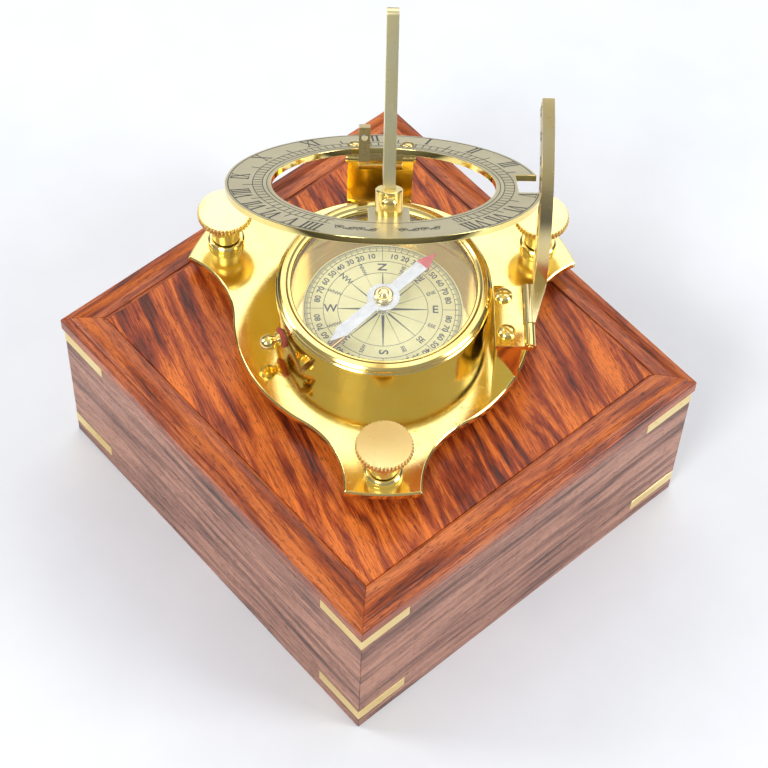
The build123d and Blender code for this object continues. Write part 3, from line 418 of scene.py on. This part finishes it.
def soften(bm, width, segments=2, angle=SHARP):
    """Narrow bevel along every sharp edge."""
    sharp = [e for e in bm.edges if e.is_manifold and e.calc_face_angle(0) > angle]
    bmesh.ops.bevel(bm, geom=sharp, offset=width, segments=segments, profile=0.5, affect="EDGES",
                    material=-1, clamp_overlap=True)


def piece(bm, name, body, materials, board=None, replaces=()):
    """Turns a bmesh into an object that rides on a body."""
    if board is not None:
        bmesh.ops.transform(bm, matrix=board, verts=bm.verts)
    for face_ in bm.faces:
        face_.smooth = True
    for edge in bm.edges:
        edge.smooth = not (edge.is_manifold and edge.calc_face_angle(0) > math.radians(35))
    mesh = bpy.data.meshes.new(name)
    bm.to_mesh(mesh)
    bm.free()
    made = bpy.data.objects.new(name, mesh)
    bpy.context.scene.collection.objects.link(made)
    for material in materials if isinstance(materials, (list, tuple)) else [materials]:
        mesh.materials.append(material)
    weighted = made.modifiers.new("weighted normals", "WEIGHTED_NORMAL")
    weighted.keep_sharp = True
    if replaces:
        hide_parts(*replaces)
    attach(made, body)
    return made


def add_copy(bm, drawing):
    """Adds a finished small drawing to a larger one."""
    mesh = bpy.data.meshes.new("drawing")
    drawing.to_mesh(mesh)
    drawing.free()
    bm.from_mesh(mesh)
    bpy.data.meshes.remove(mesh)


node_body = {node: body for body, nodes in frame["record"]["behaviour"]["bodies"].items() for node in nodes}


def from_node(node):
    """A merged copy of a CAD node's mesh, in millimetres."""
    bm = bmesh.new()
    bm.from_mesh(frame["nodes"][node].data)
    bmesh.ops.transform(bm, matrix=Matrix.Scale(1 / MM, 4), verts=bm.verts)
    merge(bm)
    return bm


def refine(node, material, width=0.25, segments=2):
    """Stands a copy with softened edges in a CAD node's place."""
    bm = from_node(node)
    soften(bm, width, segments)
    return piece(bm, node + "_finished", node_body[node], material, ON_CASE, (node,))


# %% [markdown]
# ## The case
# Four mitred walls stand round a floor board, and the lid is the same again with a moulded frame round
# a flat panel. All of them are refined copies of the mechanical parts, with their edges broken.

# %% Case walls, floor and straps
for side in ("front", "back", "left", "right"):
    refine("base_wall_" + side, sides[side], 0.35)
    refine("lid_wall_" + side, sides[side], 0.35)
refine("base_floor", floor_wood, 0.3)
for node in ("base_corner_straps", "lid_corner_straps"):
    refine(node, strap_brass, 0.12, 1)
for node in ("base_lining", "lid_lining"):
    refine(node, felt, 0.3)
for node in ("hinge_leaves_base", "hinge_leaves_lid"):
    refine(node, strap_brass, 0.12, 1)
for node in ("hinge_pins", "hinge_screws_base", "hinge_screws_lid"):
    refine(node, steel, 0.08, 1)

# %% [markdown]
# ### Lid panel and mouldings
# The lid's frame is four lengths of moulding with mitred corners round a flat panel. Each length has its
# own board's grain, which turns at the mitre, and that turn is what makes a real frame look joined.

# %% Lid panel and mouldings
for side in ("front", "back", "left", "right"):
    refine("lid_moulding_" + side, mouldings[side], 0.2)
refine("lid_panel", panel_wood, 0.25)

# %% [markdown]
# ## Brass and steel parts
# These parts are right as they were drawn, so each is a refined copy: the edges are broken, and the
# finish is the one its real surface has, from mirror-polished plate to rough cast hinge block.

# %% Brass and steel parts
finishes = {
    plate_brass: ("base_plate", "ring_bracket", "arc_pillar", "arc_hinge_leaf"),
    bowl_brass: ("compass_bowl", "bezel"),
    arc_brass: ("latitude_arc",),
    raw_brass: ("ring_hinge_block", "gnomon_clip", "ring_rivets"),
    gnomon_brass: ("gnomon",),
    screw_brass: ("arc_hinge_screws", "arc_hinge_pin", "gnomon_post", "friction_screw", "needle_cap",
                  "screw_bushes", "bowl_screws", "bracket_screws", "ring_hinge_pin", "lock_knob"),
    steel: ("pivot_pin", "gnomon_pin"),
    lever_metal: ("lock_lever",),
    fibre: ("lock_washer",),
    cork: ("glass_gasket",),
    card_paper: ("compass_card",),
    jewel: ("cap_jewel",),
    pane.material: ("glass",),
}
for finish_, nodes in finishes.items():
    for node in nodes:
        refine(node, finish_, 0.12)
print("refined", sum(len(nodes) for nodes in finishes.values()), "parts")

# %% [markdown]
# ## Levelling screws
# The rim of each head is knurled, so that a thumb can turn it: a row of upright beads pressed between
# the tops and bottoms of the teeth. A bead is a stretched sphere with few faces, because it is repeated
# all the way round three heads.

# %% Levelling screws
HEAD_RADIUS = 8.45
HEAD_THICK = 2.8
BEADS = 46
for corner in ("front", "right", "left"):
    node = "levelling_screw_" + corner
    low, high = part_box(node)
    axis_at = (low + high) / 2 / MM
    bm = from_node(node)
    soften(bm, 0.15)
    teeth = bmesh.new()
    bmesh.ops.create_uvsphere(teeth, u_segments=8, v_segments=6, radius=1)
    bmesh.ops.scale(teeth, vec=(0.58, 0.44, HEAD_THICK / 2), verts=teeth.verts)
    bmesh.ops.translate(teeth, vec=(HEAD_RADIUS, 0, high.z / MM - HEAD_THICK / 2), verts=teeth.verts)
    bmesh.ops.spin(teeth, geom=teeth.verts[:] + teeth.edges[:] + teeth.faces[:], cent=(0, 0, 0), axis=(0, 0, 1),
                   angle=math.tau * (BEADS - 1) / BEADS, steps=BEADS - 1, use_duplicate=True)
    bmesh.ops.translate(teeth, vec=(axis_at.x, axis_at.y, 0), verts=teeth.verts)
    add_copy(bm, teeth)
    piece(bm, node + "_finished", node_body[node], head_brass, ON_CASE, (node,))

# %% [markdown]
# ## Engraving and printing tools
# A filled engraving or a printed line is a film of wax or ink on a surface. It could be painted by a
# shader, but a number on a ring is easier to place as a shape, so each mark is a very thin closed body.
# A bar is a scaled cube, a circle is a spun rectangle whose open ends are filled, and a letter is a text
# curve with a little thickness.

# %% Tools for marks
FILM = 0.035
BURIED = 0.05


def bar(bm, start, end, width, top=FILM, taper=1.0):
    """A thin straight bar between two points; its far end is narrower by the taper."""
    a, b = Vector(start), Vector(end)
    span = b - a
    made = bmesh.ops.create_cube(bm, size=1)["verts"]
    far = [v for v in made if v.co.x > 0]
    bmesh.ops.scale(bm, vec=(1, taper, 1), verts=far)
    bmesh.ops.scale(bm, vec=(span.length, width, top + BURIED), verts=made)
    bmesh.ops.translate(bm, vec=(span.length / 2, 0, (top - BURIED) / 2), verts=made)
    angle = math.atan2(span.y, span.x)
    turned = Matrix.Translation((a.x, a.y, 0)) @ Matrix.Rotation(angle, 4, "Z")
    bmesh.ops.transform(bm, matrix=turned, verts=made)


def polar(radius, degrees):
    return (radius * math.cos(math.radians(degrees)), radius * math.sin(math.radians(degrees)))


def tick(bm, degrees, inner, outer, width, top=FILM, taper=1.0):
    bar(bm, polar(inner, degrees), polar(outer, degrees), width, top, taper)


def band(bm, radius, width, start=0.0, end=360.0, top=FILM):
    """A thin ring or part of a ring, from one angle to another."""
    corners = [bm.verts.new((radius + side * width / 2, 0, height))
               for side, height in ((-1, -BURIED), (1, -BURIED), (1, top), (-1, top))]
    edges = [bm.edges.new((corners[i - 1], corners[i])) for i in range(4)]
    bmesh.ops.rotate(bm, verts=corners, cent=(0, 0, 0), matrix=Matrix.Rotation(math.radians(start), 3, "Z"))
    whole = end - start >= 359.9
    before = set(bm.edges)
    bmesh.ops.spin(bm, geom=corners + edges, cent=(0, 0, 0), axis=(0, 0, 1), angle=math.radians(end - start),
                   steps=max(3, int((end - start) / 2)), use_merge=whole)
    if not whole:
        open_ends = [e for e in bm.edges if e.is_boundary and (e not in before or e in edges)]
        bmesh.ops.holes_fill(bm, edges=open_ends)


def letters(bm, text, size, place, weight=0.0):
    """Adds a text as a thin solid; place is its matrix on the drawing."""
    curve = bpy.data.curves.new("lettering", "FONT")
    curve.body, curve.size, curve.extrude, curve.offset = text, size, FILM, weight
    curve.align_x, curve.align_y, curve.resolution_u = "CENTER", "CENTER", 3
    drawn = bpy.data.objects.new("lettering", curve)
    bpy.context.scene.collection.objects.link(drawn)
    mesh = bpy.data.meshes.new_from_object(drawn.evaluated_get(bpy.context.evaluated_depsgraph_get()))
    mesh.transform(place)
    bm.from_mesh(mesh)
    bpy.data.objects.remove(drawn)
    bpy.data.meshes.remove(mesh)


def facing_place(radius, degrees, turn):
    """Matrix of a letter at a radius and angle, turned by its own angle."""
    x, y = polar(radius, degrees)
    return Matrix.Translation((x, y, 0)) @ Matrix.Rotation(math.radians(turn), 4, "Z")


def marks(bm, name, node, material, board, height=0.0):
    """Closes a drawing of marks and sets it on a node's surface."""
    bmesh.ops.remove_doubles(bm, verts=bm.verts, dist=0.0005)
    bmesh.ops.recalc_face_normals(bm, faces=bm.faces)
    bmesh.ops.translate(bm, vec=(0, 0, height), verts=bm.verts)
    made = piece(bm, name, node_body[node], material, board)
    made.modifiers.clear()
    print(name, "has", len(made.data.polygons), "faces")
    return made


# %% [markdown]
# ## Hour ring
# The ring is a brass plate with a paler, drier upper face and yellow edges. The material is chosen face
# by face: only faces that look along the ring's own upward direction, and lie on its face, are pale.

# %% Hour ring
bm = from_node("hour_ring")
soften(bm, 0.3, 2)
on_face = ON_RING.inverted() @ ON_CASE
for face_ in bm.faces:
    where = on_face @ face_.calc_center_median()
    face_.material_index = int(face_.normal.dot(RING_UP) > 0.995 and abs(where.z) < 0.05)
piece(bm, "hour_ring_finished", "hour_ring", (plate_brass, silvered_face), ON_CASE,
      ("hour_ring",))

# %% [markdown]
# ### Hour numerals
# Roman numerals are only three letters, so they are built from bars, a thick stroke, a thin stroke and
# small serifs, as an engraver cuts them. Their tops point outwards. The spacing is uneven, as it was
# measured, although a true ring of this kind has 15 degrees to the hour.

# %% Hour numerals
TALL = 5.4
THICK, THIN, SERIF = 0.62, 0.3, 0.3
LETTER_WIDTH = {"I": 1.5, "V": 3.6, "X": 3.6}


def numeral(bm, text, degrees, radius):
    drawing = bmesh.new()
    x = -sum(LETTER_WIDTH[letter] for letter in text) / 2
    for letter in text:
        width = LETTER_WIDTH[letter]
        left, right_, mid = x + 0.55, x + width - 0.55, x + width / 2
        low, high = -TALL / 2, TALL / 2
        if letter == "I":
            bar(drawing, (mid, low), (mid, high), THICK)
            feet = [(mid, low), (mid, high)]
        elif letter == "V":
            bar(drawing, (left, high), (mid, low), THICK)
            bar(drawing, (right_, high), (mid, low), THIN, FILM * 0.9)
            feet = [(left, high), (right_, high)]
        else:
            bar(drawing, (left, high), (right_, low), THICK)
            bar(drawing, (left, low), (right_, high), THIN, FILM * 0.9)
            feet = [(left, low), (left, high), (right_, low), (right_, high)]
        for foot_x, foot_y in feet:
            bar(drawing, (foot_x - 0.62, foot_y), (foot_x + 0.62, foot_y), SERIF, FILM * 1.1)
        x += width
    bmesh.ops.transform(drawing, matrix=facing_place(radius, degrees, degrees - 90), verts=drawing.verts)
    add_copy(bm, drawing)


NUMERAL_R = 44.2
NOON = 95
FOUR_IN_NOTCH = 7.0
HOURS = {"I": 70, "II": 48.3, "III": 26.7, "V": -12, "VI": -29, "VII": -42, "VIII": -54,
         "XI": 121, "X": 148.9, "IX": 174}
WEST_HOURS = {"VIII": 194.4, "VII": 209.4, "VI": 221, "V": 231.7, "IIII": 240.6}
bm = bmesh.new()
for hours in (HOURS, WEST_HOURS):
    for text, degrees in hours.items():
        numeral(bm, text, degrees, NUMERAL_R)
numeral(bm, "XII", NOON, NUMERAL_R)

# %% [markdown]
# ### Minute ladder and ornament
# Inside the numerals runs a ladder of ten-minute steps between two circles, with a longer half-hour
# tick between each pair of hours. A plain running scroll fills the near part of the ring.

# %% Minute ladder and ornament
NOTCH_EDGES = (-9.5, 13.5)
LADDER_END = -58.0
LADDER_START = 246.0
OUTER_LINE_R, LADDER_OUT, LADDER_IN, BORE_LINE_R = 47.5, 40.0, 37.0, 35.7
band(bm, OUTER_LINE_R, 0.28, NOTCH_EDGES[1], LADDER_START)
band(bm, OUTER_LINE_R, 0.28, LADDER_END, NOTCH_EDGES[0])
band(bm, LADDER_OUT, 0.22, LADDER_END, LADDER_START)
band(bm, LADDER_IN, 0.22, LADDER_END, LADDER_START)
band(bm, BORE_LINE_R, 0.22)
hour_angles = sorted([*HOURS.values(), *WEST_HOURS.values(), NOON, FOUR_IN_NOTCH, LADDER_END, LADDER_START])
for first, second in zip(hour_angles, hour_angles[1:]):
    steps = max(2, round((second - first) / 3.6))
    for step in range(steps):
        tick(bm, first + (second - first) * step / steps, LADDER_IN, LADDER_OUT, 0.3)
    half = (first + second) / 2
    if second - first > 9 and not NOTCH_EDGES[0] < half < NOTCH_EDGES[1]:
        tick(bm, half, LADDER_OUT, LADDER_OUT + 3.0, 0.32)
for start_angle in (249, 275):
    for curl in range(4):
        centre_angle = start_angle + 2 + curl * 4.4
        side_ = 1 if curl % 2 else -1
        leaf = bmesh.new()
        band(leaf, 1.25, 0.32, 0 if side_ > 0 else 180, 250 if side_ > 0 else 430)
        band(leaf, 0.45, 0.3, top=FILM * 0.9)
        bar(leaf, (-1.9, -0.9 * side_), (1.9, 1.1 * side_), 0.24, FILM * 1.1)
        bmesh.ops.transform(leaf, matrix=facing_place(41.5, centre_angle, centre_angle - 90), verts=leaf.verts)
        add_copy(bm, leaf)
marks(bm, "hour_ring_engraving", "hour_ring", black_wax, ON_RING)

# %% [markdown]
# ## Compass card
# The card is printed cream paper. Circles divide it into a rose, a band of sixteen points, a band of
# degree numbers and a ring of single degrees. The names of the points lie along the radius, as on the
# real card, and the numbers stand with their tops outwards.

# %% Compass card
CARD_TOP = (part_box("compass_card")[1].z - CENTRE.z) / MM
bm = bmesh.new()
for radius in (14.4, 19.0, 23.2, 25.1):
    band(bm, radius, 0.16)
for degree in range(360):
    tick(bm, degree, 23.3 if degree % 5 == 0 else 24.0, 25.1, 0.13 if degree % 5 else 0.2)
POINTS = ("E", "ENE", "NE", "NNE", "N", "NNW", "NW", "WNW", "W", "WSW", "SW", "SSW", "S", "SSE", "SE", "ESE")
POINT_R, DEGREE_R = 16.7, 21.1
POINT_SIZE = {1: 4.1, 2: 2.7, 3: 1.75}
for index, name in enumerate(POINTS):
    degrees = index * 22.5
    turn = degrees if degrees <= 90 or degrees >= 270 else degrees + 180
    size = POINT_SIZE[len(name)]
    letters(bm, name, size, facing_place(POINT_R, degrees, turn), 0.05 * size / 3)
    tick(bm, degrees, 18.95, 23.2, 0.13, FILM * 0.8)
for degree in range(0, 360, 10):
    number = min(abs(degree - 90) % 180, 180 - abs(degree - 90) % 180)
    if degree % 45:
        letters(bm, str(number), 2.7, facing_place(DEGREE_R, degree, degree - 90), 0.05)
for index in range(16):
    broad = index % 2 == 0
    tick(bm, index * 22.5, 2.4, 14.3, 1.0 if index % 4 == 0 else 0.7 if broad else 0.2, taper=0.2)
marks(bm, "compass_card_printing", "compass_card", card_ink, ON_PLATE, CARD_TOP)

# %% [markdown]
# ## Needle
# The needle is a flat steel bar with a low ridge. Its north end is dipped in red lacquer. A cut across
# the copy gives the lacquer a sharp edge, and a cut along it gives the ridge its line.

# %% Needle
RED_LENGTH = 6.5
NEEDLE_TURN = math.radians(46.0)
RIDGE = 0.18
point = EAST * math.cos(NEEDLE_TURN) + NORTH * math.sin(NEEDLE_TURN)
across = UP.cross(point)
centre = CENTRE / MM
bm = from_node("needle")
reach = max((v.co - centre).dot(point) for v in bm.verts)
for normal, start in ((point, centre + point * (reach - RED_LENGTH)), (across, centre)):
    bmesh.ops.bisect_plane(bm, geom=bm.verts[:] + bm.edges[:] + bm.faces[:], plane_co=start, plane_no=normal)
top = max(v.co.z for v in bm.verts)
for face_ in bm.faces:
    face_.material_index = int((face_.calc_center_median() - centre).dot(point) > reach - RED_LENGTH)
for vertex in bm.verts:
    off_ridge = abs((vertex.co - centre).dot(across))
    if vertex.co.z > top - 0.01 and off_ridge > 0.3:
        vertex.co.z -= RIDGE
piece(bm, "needle_finished", "needle", (needle_silver, tip_red), ON_CASE, ("needle",))

# %% [markdown]
# ## Latitude arc
# The arc carries degrees of latitude on its west side, counted from the level of the ring's hinge. The
# scale's zero is assumed, because the real one can't be read.

# %% Latitude arc
hinge = Vector(joints["ring_hinge"]["pos_m"])
upper = [v.co for v in frame["nodes"]["latitude_arc"].data.vertices if v.co.z > CENTRE.z + 0.03]
west_face = min((corner - CENTRE).dot(EAST) for corner in upper)
arc_centre = CENTRE + EAST * west_face + NORTH * (hinge - CENTRE).dot(NORTH) + UP * (hinge - CENTRE).z
ON_ARC = drawing_board(arc_centre, -NORTH, UP, -EAST)
bm = bmesh.new()
band(bm, 45.9, 0.16, 3, 72)
for degree in range(3, 73):
    tick(bm, degree, 46.0, (48.6 if degree % 10 == 0 else 48.0 if degree % 5 == 0 else 47.3), 0.16)
for degree in range(10, 71, 10):
    letters(bm, str(degree), 3.2, facing_place(43.2, degree, degree - 90), 0.06)
marks(bm, "latitude_arc_engraving", "latitude_arc", black_wax, ON_ARC)

# %% [markdown]
# ## Floor and light
# Polished brass shows the room more than itself. A room that is darker near the horizon than overhead
# gives it dark edges, and large soft lights of low strength give it broad bright planes. The floor is
# pale paper.

# %% Floor and light
bm = bmesh.new()
bmesh.ops.create_grid(bm, x_segments=1, y_segments=1, size=3.0)
floor_mesh = bpy.data.meshes.new("floor")
bm.to_mesh(floor_mesh)
bm.free()
floor = bpy.data.objects.new("floor", floor_mesh)
bpy.context.scene.collection.objects.link(floor)
floor_mesh.materials.append(speckled("floor_paper", 40, (0.82, 0.84, 0.87), (0.85, 0.87, 0.90), 0.7))

world = bpy.data.worlds.new("studio")
bpy.context.scene.world = world
world.use_nodes = True
sky = world.node_tree
direction = sky.nodes.new("ShaderNodeTexCoord")
height_of = sky.nodes.new("ShaderNodeSeparateXYZ")
gradient = sky.nodes.new("ShaderNodeValToRGB")
sky.links.new(direction.outputs["Generated"], height_of.inputs[0])
sky.links.new(height_of.outputs[2], gradient.inputs[0])
sky.links.new(gradient.outputs[0], sky.nodes["Background"].inputs[0])
gradient.color_ramp.elements[0].position = 0.02
gradient.color_ramp.elements[0].color = (0.06, 0.06, 0.065, 1)
gradient.color_ramp.elements[1].position = 0.95
gradient.color_ramp.elements[1].color = (0.62, 0.64, 0.67, 1)
sky.nodes["Background"].inputs[1].default_value = 0.9


def softbox(name, where, target, size, power):
    data = bpy.data.lights.new(name, "AREA")
    data.shape = "RECTANGLE"
    data.size, data.size_y = size
    data.energy = power
    lamp = bpy.data.objects.new(name, data)
    bpy.context.scene.collection.objects.link(lamp)
    lamp.location = where
    lamp.rotation_mode = "QUATERNION"
    lamp.rotation_quaternion = (Vector(target) - Vector(where)).to_track_quat("-Z", "Y")


softbox("key", (-0.40, 0.62, 1.05), (0, 0, 0.07), (1.3, 0.9), 5.2)
softbox("left", (-0.95, -0.75, 0.8), (0, 0, 0.07), (0.5, 0.7), 7)
softbox("right", (0.95, 0.6, 0.7), (0, 0, 0.07), (0.5, 0.7), 7)
softbox("front", (0.35, -1.1, 1.1), (0, 0, 0.07), (0.5, 0.4), 8)
bpy.context.scene.view_settings.view_transform = "Standard"
